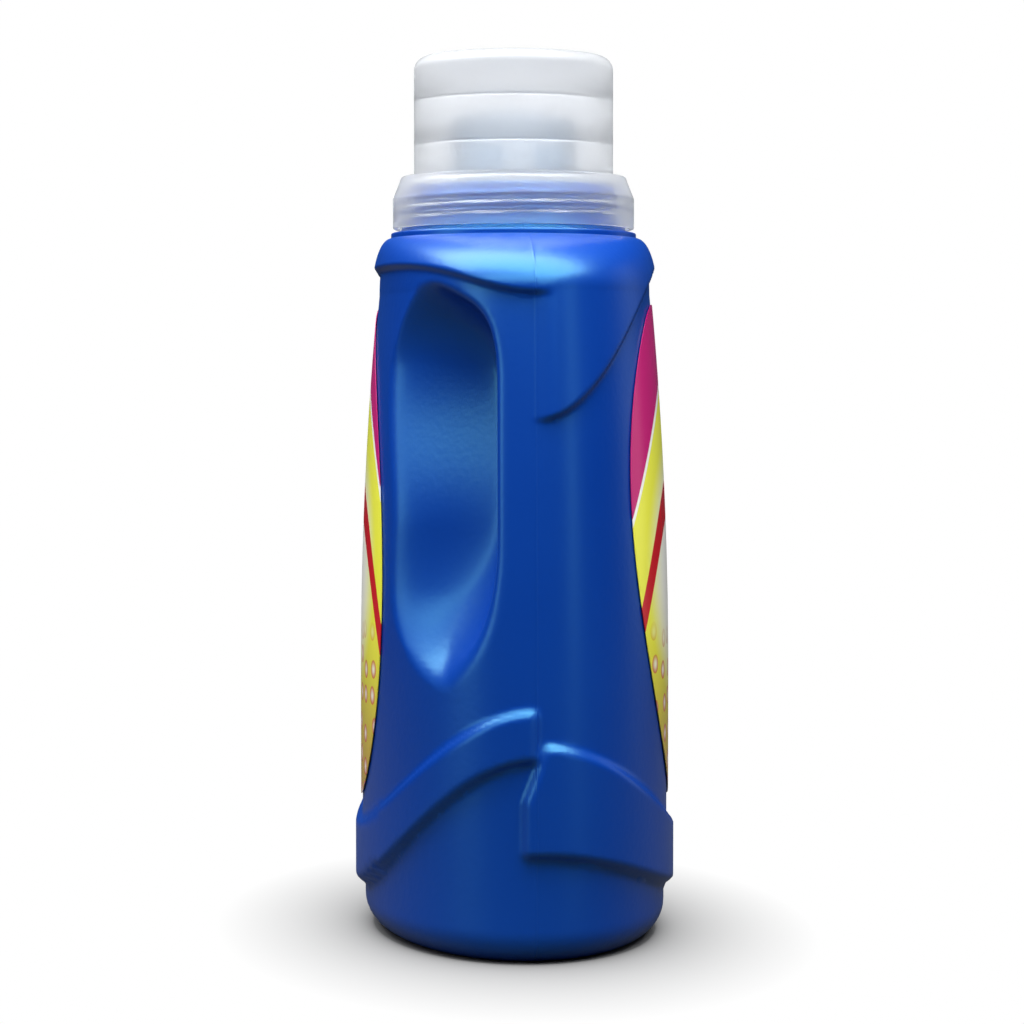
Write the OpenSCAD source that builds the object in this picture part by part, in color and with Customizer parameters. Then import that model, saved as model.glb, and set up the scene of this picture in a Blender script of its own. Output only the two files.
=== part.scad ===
// Oval blow-moulded bottle with two finger recesses, a pouring insert, a dosing cap and two film labels.
// +Z is up and the origin is the centre of the base. X runs across the wide way and Y through the depth,
// with the front label on -Y. The bottle repeats itself by a half turn about Z, so its back half is
// described once: the angle round it runs from 0 at the -X end, over +Y, to 180 at the +X end.

/* [Body] */
// Half the width of the oval at the foot
foot_half_width = 74; // [68:0.5:82]
// Half the depth of the oval at the foot
foot_half_depth = 45.3; // [43:0.1:50]
// Half the width of the oval where the shoulder begins
shoulder_half_width = 68; // [62:0.5:74]
// Half the depth of the oval where the shoulder begins
shoulder_half_depth = 40; // [38:0.1:44]
// Height at which the sides begin to draw in
taper_z = 75; // [55:1:90]
// Height at which the shoulder begins to round over
shoulder_z = 188; // [182:0.5:196]
// Rise of the rounded shoulder up to the neck ring
shoulder_rise = 17; // [12:0.5:24]
// Thickness of the blown wall
wall = 1.3; // [0.9:0.1:1.8]
// Rounding between the sides and the base
heel_radius = 9; // [6:0.5:10]
// Width of the flat ring that the bottle stands on
standing_ring = 5; // [3:0.5:8]
// Height of the hollow in the middle of the base
push_up = 4; // [2:0.5:8]

/* [Shoulder ridge] */
// Height of the ridge at the middle of a face
ridge_face_z = 195.5; // [190:0.5:198]
// Height of the ridge at its high end
ridge_high_z = 187; // [180:0.5:194]
// Height of the ridge at its low end
ridge_low_z = 151.5; // [140:0.5:165]
// How far the shoulder stands proud above the ridge
ridge_raise = 1.9; // [0.8:0.1:2.6]
// Height over which the ridge rises
ridge_width = 4; // [3:0.5:8]

/* [Foot band] */
// Height of the band's upper edge at the middle of a face
band_top_face_z = 32; // [28:0.5:38]
// Height of the band's upper edge at its high end
band_top_high_z = 71; // [64:0.5:76]
// Height of the band's upper edge at its low end
band_top_low_z = 61.5; // [54:0.5:66]
// Height of the band's lower edge at the middle of a face
band_foot_face_z = 13.5; // [12.5:0.5:16]
// Height of the band's lower edge at its high end
band_foot_high_z = 57; // [50:0.5:59]
// Height of the band's lower edge at its low end
band_foot_low_z = 30.5; // [26:0.5:36]
// How far the band stands proud of the sides
band_raise = 2.1; // [1:0.1:3]
// How far the foot below the band is set in from the sides
foot_inset = 0.8; // [0:0.1:1.6]
// Height over which an edge of the band rises
band_edge = 3.2; // [2:0.2:5]

/* [Finger recess] */
// Distance of the recess floor behind the parting plane
recess_floor_y = 5; // [4:0.5:9]
// Height of the middle of the recess
recess_z = 138; // [132:0.5:144]
// Distance of the foot of the far wall from the middle of the bottle, at the lower half of the recess
recess_far_x = 51; // [47:0.5:54]
// How far the far wall steps back towards the top
recess_far_step = 8.5; // [4:0.5:11]
// Height at which it starts to step back
recess_step_z = 120; // [112:1:128]
// Height in which it steps back
recess_step_h = 48; // [36:1:54]
// Height below which it turns towards the bottom end
recess_turn_z = 104; // [96:1:110]
// Sharpness of that turn
recess_far_turn = 0.022; // [0.01:0.001:0.03]
// Steepness of the far wall
recess_far_slope = 3; // [2:0.1:5]
// Distance of the near wall's foot from the end of the bottle
recess_near_setback = 9.5; // [7:0.5:12]
// Steepness of the near wall
recess_near_slope = 0.75; // [0.5:0.05:1.2]
// Height from the middle to where the floor begins to turn out at the top
recess_top_start = 24; // [18:0.5:28]
// Height of that turn
recess_top_h = 32.6; // [28:0.1:36]
// Height from the middle down to where the floor begins to turn out at the bottom
recess_bottom_start = 20; // [16:0.5:26]
// Height of that turn
recess_bottom_h = 54; // [48:0.5:58]
// Rounding of the top of the recess towards its far wall
recess_top_round = 0.053; // [0.02:0.001:0.08]
// Slant of the bottom of the recess towards its near wall
recess_bottom_tilt = 0.6; // [0:0.05:0.8]
// Softness of the creases inside the recess
recess_crease = 13; // [6:0.5:16]
// Softness of the recess rim at the near lip
recess_near_rim = 6; // [2:0.5:8]
// Softness of the recess rim at the far lip
recess_far_rim = 9; // [4:0.5:12]
// Softness of the recess rim at the ends
recess_end_rim = 4; // [2:0.5:8]

/* [Neck] */
// Outer radius of the neck
neck_r = 31; // [28:0.1:33]
// Thickness of the neck wall
neck_wall = 2; // [1.4:0.1:2.6]
// How far the ring at the root of the neck stands out from it
neck_ring_out = 5.6; // [4.6:0.1:6.6]
// Height of that ring
neck_ring_h = 1.7; // [1:0.1:2.5]
// How far the collar under the cap stands out from the neck
collar_out = 2.5; // [1.5:0.1:3]
// Height of the collar
collar_h = 2; // [1:0.1:3]
// Height of the neck above its ring
neck_h = 13.6; // [11:0.1:15]

/* [Pouring insert] */
// Clearance between the plug and the bore of the neck
plug_clearance = 0.15; // [0.05:0.05:0.3]
// Thickness of the insert's walls
insert_wall = 1.2; // [0.8:0.1:1.8]
// Thickness of the flange on the neck's lip
flange_t = 1.4; // [1:0.1:2]
// Depth of the plug below the neck's lip
plug_depth = 12; // [9:0.5:14]
// Outer radius of the spout tube
spout_r = 18.5; // [14:0.5:22]
// Height of the spout's lip above the neck's lip, at its point
spout_h = 25; // [16:0.5:32]
// Slant of the spout's lip, in degrees
spout_slant = 20; // [8:1:28]
// Slant of the drain floor, in degrees
drain_slant = 7; // [3:1:9]
// Width of the slot at the back of the spout
spout_slot = 9; // [5:0.5:14]

/* [Cap] */
// Height of the gap between the cap and the neck ring
cap_gap = 1.2; // [0.6:0.1:2.5]
// Room between the neck and the skirt, for the screw thread
thread_room = 3.5; // [3.2:0.1:4.5]
// Height of the straight part of the skirt
skirt_h = 8.8; // [6:0.1:10]
// How far the skirt draws in from its straight part to the ledge
ledge_inset = 2.3; // [1.5:0.1:2.8]
// How far the cup is set in from the outside of the neck
cup_inset = 1.3; // [0.8:0.1:4]
// Height of the cup above the ledge
cup_h = 35.6; // [30:0.5:46]
// Rounding of the cup's closed end
cup_edge = 4; // [2:0.5:6]
// Thickness of the cap's walls
cap_wall = 1.5; // [1:0.1:1.9]
// Clearance between the cap's ledge and the insert's flange
cap_seat = 0.25; // [0.2:0.05:0.5]
// Heights of the two fill lines above the ledge
fill_lines = [9.5, 22.5]; // [4:0.5:28]
// How far a fill line stands out inside the cup
fill_line_t = 0.4; // [0.2:0.1:0.8]

/* [Labels] */
// Distance of a label's middle from the middle of the bottle
label_offset = 12; // [8:0.5:15]
// Height of a label's middle
label_z = 112; // [106:0.5:116]
// Half the width of a label
label_half_width = 43; // [34:0.5:45]
// Half the height of a label
label_half_height = 73; // [60:0.5:74]
// Sideways lean of a label for each mm of height
label_lean = 0.12; // [0:0.01:0.16]
// Thickness of the label film
label_t = 0.2; // [0.1:0.05:0.4]
// Gap between the film and the moulded face
label_gap = 0.3; // [0.2:0.05:0.5]

/* [Hidden] */

neck_ring_z = shoulder_z + shoulder_rise;
collar_z = neck_ring_z + neck_ring_h;
neck_top = collar_z + neck_h;
bore_r = neck_r - neck_wall;
neck_ring_r = neck_r + neck_ring_out;
collar_r = neck_r + collar_out;
skirt_bore = neck_r + thread_room;
skirt_r = skirt_bore + cap_wall;
ledge_r = skirt_r - ledge_inset;
cup_r = neck_r - cup_inset;
cap_z = collar_z + cap_gap;
flange_top = neck_top + flange_t;
ledge_under = flange_top + cap_seat;
ledge_top = ledge_under + cap_wall;
cap_top = ledge_top + cup_h;
skin_overlap = 0.2;
round_fn = 120;

// Powers that set how quickly the styling lines leave their ends
ridge_high_power = 6;
ridge_low_power = 3;
band_power = 2;
// Degrees either side of the parting line over which the two halves run into each other
ridge_join = 9;
band_join = 4;
// Place of the end of the band past the parting line and half its width, in degrees
band_end_angle = 3;
band_end_join = 2.5;
// Intervals of the moulded skin round half the bottle: parting line, near rim, near wall,
// recess floor, far wall, far rim, face, and parting line again
column_steps = [2, 4, 4, 4, 4, 4, 16, 2];
columns = 40;
// Degrees taken by the close columns beside the parting line, and by the far rim
seam_span = 4;
rim_span = 12;
// Shares of the near lip's set-back and of the far wall's height at which the close columns start
near_share = 0.7;
far_share = 0.8;
// Least width of the recess floor that the columns leave room for
floor_least = 6;
// Rows across a moulded edge, as shares of its width
edge_rows = [-0.5, -0.17, 0.17, 0.5];
// Rows between the stations of the skin, outside and inside, and rows of the heel and the dome
outer_steps = [2, 1, 1, 1, 2, 1, 1, 1, 22, 1, 1, 1];
inner_steps = [1, 1, 0, 0, 1, 1, 0, 0, 20, 1, 0, 0];
heel_steps = 5;
dome_steps = 9;
// Places across the bottle of the recess's highest and lowest points, the rounding of its bottom,
// its depth and the powers by which its ends turn out
recess_top_x = 52;
recess_bottom_x = 61;
recess_bottom_round = 0.05;
recess_depth = 33;
recess_top_power = 2.6;
recess_bottom_power = 1.5;
// Heights over which the rim changes from its ends to its sides, and the width of its change across
recess_rim_low_z = 88;
recess_rim_high_z = 172;
recess_rim_run = 20;
// Width of the slope inside the standing ring, and the share of the push-up it reaches
push_up_slope = 6;
push_up_share = 0.75;
// Rows and columns of a label
label_rows = 14;
label_columns = 12;

function clamp01(t) = max(0, min(1, t));
function ease(t) = let (c = clamp01(t)) c * c * (3 - 2 * c);
function mix(a, b, t) = a + (b - a) * t;
function soft_min(a, b, k) =
    let (h = clamp01(0.5 + 0.5 * (b - a) / k))
    mix(b, a, h) - k * h * (1 - h);
function soft_max(a, b, k) = -soft_min(-a, -b, k);

// Plan of the body at a height: an oval that draws in upwards, then rounds over to the neck ring
function draw_in(z) = pow(clamp01((z - taper_z) / (shoulder_z - taper_z)), 2);
function dome(z) = sqrt(max(0, 1 - pow(max(0, z - shoulder_z) / shoulder_rise, 2)));
function plan_radius(foot, shoulder, z) =
    let (side = mix(foot, shoulder, draw_in(z)), ring = neck_ring_r + skin_overlap)
    ring + (side - ring) * dome(z);
function half_width(z) = plan_radius(foot_half_width, shoulder_half_width, z);
function half_depth(z) = plan_radius(foot_half_depth, shoulder_half_depth, z);

// Share of the high line at an angle near the parting line, where the two halves cross over
function past_seam(angle) = angle < 90 ? angle : angle - 180;
function crossing(angle, join, middle = 0) = ease(0.5 + 0.5 * (past_seam(angle) - middle) / join);

// Height of a styling line: level at the middle of the face, running up to one end of the half body
// and down to the other
function end_line(face, end, power, angle) = face + (end - face) * pow(abs(cos(angle)), power);
function ridge_low(angle) = end_line(ridge_face_z, ridge_low_z, ridge_low_power, angle);
function ridge_high(angle) = end_line(ridge_face_z, ridge_high_z, ridge_high_power, angle);
function band_low(angle) = end_line(band_top_face_z, band_top_low_z, band_power, angle);
function band_high(angle) = end_line(band_top_face_z, band_top_high_z, band_power, angle);
function ridge_z(angle) = mix(ridge_low(angle), ridge_high(angle), crossing(angle, ridge_join));
function band_top_z(angle) = mix(band_low(angle), band_high(angle), crossing(angle, band_join));
function band_foot_z(angle) =
    mix(end_line(band_foot_face_z, band_foot_low_z, band_power, angle),
        end_line(band_foot_face_z, band_foot_high_z, band_power, angle),
        crossing(angle, band_end_join, band_end_angle));

// How far the moulded skin stands out from the plain oval. The tips of the ridge and of the band's
// upper edge fade into the other half; the low end of the band stops short.
function step_up(z, edge, width) = ease((z - edge) / width + 0.5);
function faded_step(z, low, high, width, share) = mix(step_up(z, low, width), step_up(z, high, width), share);
function relief(angle, z) =
    let (above_foot = step_up(z, band_foot_z(angle), band_edge),
         above_band = faded_step(z, band_low(angle), band_high(angle), band_edge, crossing(angle, band_join)),
         above_ridge = faded_step(z, ridge_low(angle), ridge_high(angle), ridge_width,
                                  crossing(angle, ridge_join)))
    band_raise * above_foot * (1 - above_band) - foot_inset * (1 - above_foot)
    + ridge_raise * dome(z) * above_ridge;

// Finger recess, as a depth behind the parting plane: the highest of its floor and four drafted walls.
// Grown by a wall, it gives the inside of the skin round the recess.
function recess_near_x(z) = -(half_width(min(z, shoulder_z)) - recess_near_setback);
function recess_top_drop(x) = recess_top_round * pow(max(0, x + recess_top_x), 2);
function recess_bottom_lift(x) =
    let (beside = x + recess_bottom_x) recess_bottom_tilt * beside + recess_bottom_round * beside * beside;
function recess_far_x_at(z) =
    -recess_far_x + recess_far_step * ease((z - recess_step_z) / recess_step_h)
    - recess_far_turn * pow(max(0, recess_turn_z - z), 2);
function slanted(t, slope) = t * norm([1, slope]);
function turn_out(start, height, power, reach, t) =
    let (share = max(0, (reach - start) / height))
    recess_depth * pow(share, power) - slanted(t, power * recess_depth / height * pow(share, power - 1));
function recess(x, z, t) =
    let (far = recess_far_slope * (x - recess_far_x_at(z)) - slanted(t, recess_far_slope),
         near = recess_near_slope * (recess_near_x(z) - x) - slanted(t, recess_near_slope),
         top = turn_out(recess_top_start, recess_top_h, recess_top_power,
                        z - recess_z + recess_top_drop(x), t),
         bottom = turn_out(recess_bottom_start, recess_bottom_h, recess_bottom_power,
                           recess_z - z + recess_bottom_lift(x), t),
         ends = max(top, bottom),
         sides = soft_max(far, near, recess_crease))
    recess_floor_y + soft_max(ends, sides, recess_crease);

// Softness of the rim, widest along the far lip
function recess_rim(x, z) =
    let (middle = (recess_near_x(z) + recess_far_x_at(z)) / 2,
         side = mix(recess_near_rim, recess_far_rim, ease(0.5 + (x - middle) / recess_rim_run)),
         up = ease((z - recess_rim_low_z) / recess_rim_run + 0.5),
         down = ease((recess_rim_high_z - z) / recess_rim_run + 0.5))
    mix(recess_end_rim, side, up * down);

// A point of the skin on the back half, set in by t from the outside
function skin_point(angle, z, t) =
    let (out = relief(angle, z) - t,
         x = -(half_width(z) + out) * cos(angle),
         y = (half_depth(z) + out) * sin(angle))
    [x, soft_min(y, recess(x, z, t), recess_rim(x, z)), z];

// Angles of the columns. They follow the walls of the recess, which lean.
function angle_at(x, z) = acos(max(-1, min(1, -x / half_width(z))));
function column_keys(z) =
    let (level = max(band_top_high_z, min(ridge_high_z, z)),
         near = recess_near_x(level),
         foot = max(recess_far_x_at(level), near + floor_least),
         rise = half_depth(level) / recess_far_slope * far_share,
         lip = angle_at(foot + rise, level))
    [0, seam_span, angle_at(near - recess_near_setback * near_share, level), angle_at(near, level),
     angle_at(foot, level), lip, lip + rim_span, 180 - seam_span, 180];
function column_angle(steps, n, keys, part = 0) =
    n <= steps[part] ? mix(keys[part], keys[part + 1], n / steps[part])
                     : column_angle(steps, n - steps[part], keys, part + 1);

// Rows of the skin follow the styling lines. A station is a line and a distance above it.
HEEL = 0;
BAND_FOOT = 1;
BAND_TOP = 2;
RIDGE = 3;
row_stations = concat([[HEEL, 0]],
                      [for (s = edge_rows) [BAND_FOOT, s * band_edge]],
                      [for (s = edge_rows) [BAND_TOP, s * band_edge]],
                      [for (s = edge_rows) [RIDGE, s * ridge_width]]);
function line_z(line, angle) =
    line == HEEL ? heel_radius
    : line == BAND_FOOT ? band_foot_z(angle)
    : line == BAND_TOP ? band_top_z(angle)
    : ridge_z(angle);
function station_z(k, angle) = line_z(row_stations[k][0], angle) + row_stations[k][1];
// Each row is the station below it and its share of the way to the next one
function side_rows(steps) =
    [for (k = [0 : len(steps) - 1], m = [0 : 1 : steps[k] - 1]) [k, m / steps[k]]];
function row_z(row, angle) =
    mix(station_z(row[0], angle), station_z(row[0] + 1, angle), (row[1] + ease(row[1])) / 2);

// One ring of points round the whole bottle: the back half, then the same turned half round
function half_turn(p) = [-p.x, -p.y, p.z];
function whole_ring(half) = concat(half, [for (p = half) half_turn(p)]);
function oval(width, depth, angle, z) = [-width * cos(angle), depth * sin(angle), z];
function column_at(n, z) = column_angle(column_steps, n, column_keys(z));
// The columns lean with the recess, so a point's angle is taken at the height of a first estimate
function side_ring(row, stride, t) =
    whole_ring([for (n = [0 : stride : columns - 1])
        let (first = row_z(row, column_at(n, label_z)), angle = column_at(n, first))
        skin_point(angle, row_z(row, angle), t)]);
function dome_ring(share, stride, t) =
    whole_ring([for (n = [0 : stride : columns - 1])
        let (angle = column_at(n, shoulder_z),
             z = mix(ridge_z(angle) + ridge_width / 2, neck_ring_z, sin(90 * share)),
             p = skin_point(angle, z, t * cos(90 * share)))
        [p.x, p.y, z - t * sin(90 * share)]]);
function round_ring(r, z, stride) =
    whole_ring([for (n = [0 : stride : columns - 1]) oval(r, r, column_at(n, shoulder_z), z)]);
function base_ring(inset, z, stride) =
    whole_ring([for (n = [0 : stride : columns - 1])
        oval(half_width(0) - foot_inset - inset, half_depth(0) - foot_inset - inset, column_at(n, 0), z)]);
// The base and heel at one side of the wall, from the push-up outwards
function base_rings(t, steps, stride) =
    let (r = heel_radius - t, ring = heel_radius + standing_ring)
    concat([base_ring(ring + push_up_slope, push_up * push_up_share + t, stride), base_ring(ring, t, stride)],
           [for (k = [0 : steps - 1])
               let (turn = 90 * k / steps)
               base_ring(t + r * (1 - sin(turn)), t + r * (1 - cos(turn)), stride)]);

// Faces of a run of rings of equal count, from ring number first at point number start
function strip_faces(start, rings, count) =
    [for (r = [0 : rings - 2], c = [0 : count - 1])
        let (low = start + r * count, high = low + count, next = (c + 1) % count)
        each [[low + next, high + next, high + c], [low + next, high + c, low + c]]];
// Faces between a ring and one of half its count
function halving_faces(outer, inner, count) =
    [for (c = [0 : count - 1])
        let (a = outer + 2 * c, b = a + 1, d = outer + (2 * c + 2) % (2 * count),
             next = inner + (c + 1) % count)
        each [[b, inner + c, a], [b, next, inner + c], [d, next, b]]];
function reversed(list) = [for (k = [len(list) - 1 : -1 : 0]) list[k]];

// The blown skin: up the outside from the middle of the base to the neck, then down the inside
module blown_skin() {
    count = 2 * columns;
    outside = concat(base_rings(0, heel_steps, 1),
                     [for (row = side_rows(outer_steps)) side_ring(row, 1, 0)],
                     [for (k = [0 : dome_steps]) dome_ring(k / dome_steps, 1, 0)]);
    inner_dome = floor(dome_steps / 2);
    inside = concat([for (z = [neck_ring_z, neck_ring_z - wall]) round_ring(bore_r + wall, z, 2)],
                    [for (k = [inner_dome : -1 : 0]) dome_ring(k / inner_dome, 2, wall)],
                    reversed([for (row = side_rows(inner_steps)) side_ring(row, 2, wall)]),
                    reversed(base_rings(wall, 2, 2)));
    inside_start = 1 + len(outside) * count;
    last_ring = inside_start + (len(inside) - 1) * columns;
    inside_pole = last_ring + columns;
    polyhedron(
        points = concat([[0, 0, push_up]], [for (ring = outside) each ring], [for (ring = inside) each ring],
                        [[0, 0, push_up + wall]]),
        faces = concat(
            [for (c = [0 : count - 1]) [0, 1 + (c + 1) % count, 1 + c]],
            strip_faces(1, len(outside), count),
            halving_faces(inside_start - count, inside_start, columns),
            strip_faces(inside_start, len(inside), columns),
            [for (c = [0 : columns - 1]) [last_ring + (c + 1) % columns, inside_pole, last_ring + c]]));
}

module neck() {
    collar_top = collar_z + collar_h;
    slope = collar_r - neck_r;
    lip = neck_wall / 4;
    rotate_extrude($fn = round_fn)
        polygon([[bore_r, neck_ring_z], [neck_ring_r, neck_ring_z], [neck_ring_r, collar_z - lip],
                 [neck_ring_r - lip, collar_z], [collar_r, collar_z], [collar_r, collar_top],
                 [neck_r, collar_top + slope], [neck_r, neck_top - lip], [neck_r - lip, neck_top],
                 [bore_r, neck_top]]);
}

module bottle() {
    color("royalblue") union() {
        blown_skin();
        neck();
    }
}

module pour_spout() {
    plug_r = bore_r - plug_clearance;
    plug_bottom = neck_top - plug_depth;
    spout_bore = spout_r - insert_wall;
    floor_z = plug_bottom + plug_r * tan(drain_slant) + insert_wall;
    point_z = neck_top + spout_h;
    far = 2 * neck_r;
    color("ghostwhite") difference() {
        union() {
            rotate_extrude($fn = round_fn)
                polygon([[plug_r - insert_wall, plug_bottom], [plug_r, plug_bottom], [plug_r, neck_top],
                         [neck_r, neck_top], [neck_r, flange_top], [plug_r - insert_wall, flange_top]]);
            // Drain floor, which falls towards the slot at the back of the spout
            intersection() {
                translate([0, 0, floor_z]) rotate([0, -drain_slant, 0])
                    translate([-far, -far, -insert_wall]) cube([2 * far, 2 * far, insert_wall]);
                cylinder(r = plug_r - insert_wall / 2, h = cap_top, $fn = round_fn);
            }
            translate([0, 0, plug_bottom]) cylinder(r = spout_r, h = point_z - plug_bottom, $fn = round_fn);
        }
        cylinder(r = spout_bore, h = cap_top, $fn = round_fn);
        // Slanted lip, highest at the pouring side
        translate([spout_r, 0, point_z]) rotate([0, -spout_slant, 0]) translate([-far, -far, 0])
            cube([2 * far, 2 * far, far]);
        // Slot that lets drips run back
        translate([-spout_r - insert_wall / 2, -spout_slot / 2, plug_bottom - insert_wall])
            cube([2 * insert_wall, spout_slot, far]);
    }
}

module cap() {
    cup_bore = cup_r - cap_wall;
    skirt_top = cap_z + skirt_h;
    edge_in = cup_edge - cap_wall;
    arc_steps = 6;
    color("lightblue", 0.7) rotate_extrude($fn = round_fn)
        polygon(concat(
            [[skirt_bore, cap_z], [skirt_r, cap_z], [skirt_r, skirt_top], [ledge_r, ledge_top - cap_wall / 2],
             [ledge_r - cap_wall / 2, ledge_top], [cup_r, ledge_top]],
            [for (k = [0 : arc_steps]) let (turn = 90 * k / arc_steps)
                [cup_r - cup_edge + cup_edge * cos(turn), cap_top - cup_edge + cup_edge * sin(turn)]],
            [[0, cap_top], [0, cap_top - cap_wall]],
            [for (k = [arc_steps : -1 : 0]) let (turn = 90 * k / arc_steps)
                [cup_bore - edge_in + edge_in * cos(turn), cap_top - cup_edge + edge_in * sin(turn)]],
            [for (line = reversed(fill_lines)) let (z = ledge_top + line)
                each [[cup_bore, z + fill_line_t], [cup_bore - fill_line_t, z],
                      [cup_bore - fill_line_t, z - fill_line_t], [cup_bore, z - 2 * fill_line_t]]],
            [[cup_bore, ledge_under], [ledge_r - cap_wall, ledge_under], [skirt_bore, skirt_top]]));
}

// Film label: a leaning oval laid on the plain side of the body, a gap clear of it
function label_point(across, turn, out) =
    let (z = label_z + label_half_height * sin(turn),
         x = -label_offset - label_lean * (z - label_z) + label_half_width * cos(turn) * across,
         slope = x / half_width(z),
         y = -half_depth(z) * sqrt(1 - slope * slope),
         away = [x / pow(half_width(z), 2), y / pow(half_depth(z), 2)],
         unit = away / norm(away))
    [x + out * unit.x, y + out * unit.y, z];
module label() {
    count = label_columns + 1;
    turns = [for (k = [1 : label_rows - 1]) -90 + 180 * k / label_rows];
    side_points = len(turns) * count;
    function sheet(out) = [for (turn = turns, n = [0 : label_columns])
        label_point(2 * n / label_columns - 1, turn, out)];
    // Corners of the sheet in order round its edge
    rim = concat([for (n = [0 : label_columns]) n],
                 [for (k = [1 : len(turns) - 2]) k * count + label_columns],
                 [for (n = [label_columns : -1 : 0]) side_points - count + n],
                 [for (k = [len(turns) - 2 : -1 : 1]) k * count]);
    quads = [for (k = [0 : len(turns) - 2], n = [0 : label_columns - 1])
        let (a = k * count + n) each [[a, a + count, a + count + 1], [a, a + count + 1, a + 1]]];
    polyhedron(
        points = concat(sheet(label_gap + label_t), sheet(label_gap)),
        faces = concat(quads,
                       [for (face = quads) [for (k = reversed(face)) k + side_points]],
                       [for (k = [0 : len(rim) - 1])
                           let (a = rim[k], b = rim[(k + 1) % len(rim)])
                           each [[a, b, b + side_points], [a, b + side_points, a + side_points]]]));
}

module front_label() {
    color("gold") label();
}

module back_label() {
    color("gold") rotate([0, 0, 180]) label();
}

bottle();
pour_spout();
cap();
front_label();
back_label();
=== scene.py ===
"""Looks of an oval blown bottle with finger recesses, film labels, a pouring insert and a dosing cap.

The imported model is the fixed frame: metres, +Z up, origin at the centre of the base, X across the
wide way, Y through the depth, front label on -Y. Forms are worked out in millimetres, as the maker's
drawing gives them, and turned into metres when a mesh is written.
"""

from __future__ import annotations

import logging
import math
from dataclasses import dataclass, field
from enum import Enum
from typing import Any

import bpy
import numpy as np
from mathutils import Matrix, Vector

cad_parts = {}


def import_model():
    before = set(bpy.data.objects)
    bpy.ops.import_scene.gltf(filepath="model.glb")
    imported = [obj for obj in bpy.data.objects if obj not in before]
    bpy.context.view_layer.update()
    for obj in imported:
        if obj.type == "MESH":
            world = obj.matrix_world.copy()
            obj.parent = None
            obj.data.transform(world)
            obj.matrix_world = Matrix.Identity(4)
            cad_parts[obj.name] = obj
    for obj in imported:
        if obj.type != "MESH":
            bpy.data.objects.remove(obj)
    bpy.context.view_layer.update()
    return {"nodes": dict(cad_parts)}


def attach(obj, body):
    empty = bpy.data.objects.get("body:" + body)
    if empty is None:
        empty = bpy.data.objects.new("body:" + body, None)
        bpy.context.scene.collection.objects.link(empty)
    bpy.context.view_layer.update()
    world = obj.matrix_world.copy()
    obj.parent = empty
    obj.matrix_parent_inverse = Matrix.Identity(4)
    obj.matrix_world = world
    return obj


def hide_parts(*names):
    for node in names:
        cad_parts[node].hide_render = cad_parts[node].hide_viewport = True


LOG = logging.getLogger("bottle")
MM = 0.001
MERGE_DISTANCE = 1e-7
SENSOR_MM = 36.0
Array = np.ndarray
Colour = tuple[float, float, float, float]
WHITE: Colour = (1.0, 1.0, 1.0, 1.0)


def clamp01(t: Array) -> Array:
    """Limits a value to the range from 0 to 1."""
    return np.clip(t, 0.0, 1.0)


def ease(t: Array) -> Array:
    """Smooth step from 0 to 1."""
    c = clamp01(t)
    return c * c * (3.0 - 2.0 * c)


def mix(a: Any, b: Any, t: Any) -> Any:
    """Straight blend from a to b."""
    return a + (b - a) * t


def soft_min(a: Array, b: Array, softness: Any) -> Array:
    """Smaller of two surfaces, with their crossing rounded.

    Args:
        a: heights of the first surface.
        b: heights of the second surface.
        softness: difference in height over which they blend.

    Returns:
        The rounded minimum.
    """
    h = clamp01(0.5 + 0.5 * (b - a) / softness)
    return mix(b, a, h) - softness * h * (1.0 - h)


def soft_max(a: Array, b: Array, softness: Any) -> Array:
    """Larger of two surfaces, with their crossing rounded."""
    return -soft_min(-a, -b, softness)


class Side(Enum):
    """Side of the bottle that a label is on, as the sign of its Y."""

    FRONT = -1
    BACK = 1


class MeshBench:
    """Hand tools of the modeller: operators with the selection kept in order."""

    @staticmethod
    def clear_selection() -> None:
        """Deselects every object."""
        bpy.ops.object.select_all(action="DESELECT")

    @staticmethod
    def edit(piece: bpy.types.Object) -> None:
        """Opens a piece in edit mode with all of it selected.

        Args:
            piece: the piece to work on.
        """
        MeshBench.clear_selection()
        bpy.context.view_layer.objects.active = piece
        piece.select_set(True)
        bpy.ops.object.mode_set(mode="EDIT")
        bpy.ops.mesh.select_all(action="SELECT")

    @staticmethod
    def leave() -> None:
        """Goes back to object mode."""
        bpy.ops.object.mode_set(mode="OBJECT")

    @staticmethod
    def wrap_sheet(name: str, points: Array, flip: bool) -> bpy.types.Object:
        """Wraps a grid sheet onto a form and joins its edges where they meet.

        Args:
            name: name of the piece.
            points: rows by columns by three, in millimetres.
            flip: whether the sheet's faces have to be turned over.

        Returns:
            The piece, at the origin.
        """
        rows, columns = points.shape[:2]
        MeshBench.clear_selection()
        bpy.ops.mesh.primitive_grid_add(x_subdivisions=columns - 1, y_subdivisions=rows - 1, size=1.0)
        piece = bpy.context.object
        piece.name = name
        piece.data.name = name
        piece.data.vertices.foreach_set("co", (points * MM).astype(np.float32).ravel())
        piece.data.update()
        MeshBench.edit(piece)
        if flip:
            bpy.ops.mesh.flip_normals()
        bpy.ops.mesh.remove_doubles(threshold=MERGE_DISTANCE)
        MeshBench.leave()
        return piece

    @staticmethod
    def smooth(piece: bpy.types.Object, degrees: float) -> None:
        """Shades a piece smooth, apart from its sharp edges.

        Args:
            piece: the piece to shade.
            degrees: angle past which an edge stays sharp.
        """
        MeshBench.clear_selection()
        bpy.context.view_layer.objects.active = piece
        piece.select_set(True)
        bpy.ops.object.shade_smooth_by_angle(angle=math.radians(degrees))

    @staticmethod
    def apply(piece: bpy.types.Object, modifier: bpy.types.Modifier) -> None:
        """Applies a modifier to its piece.

        Args:
            piece: the piece that carries it.
            modifier: the modifier to make part of the mesh.
        """
        MeshBench.clear_selection()
        bpy.context.view_layer.objects.active = piece
        piece.select_set(True)
        bpy.ops.object.modifier_apply(modifier=modifier.name)


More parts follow.
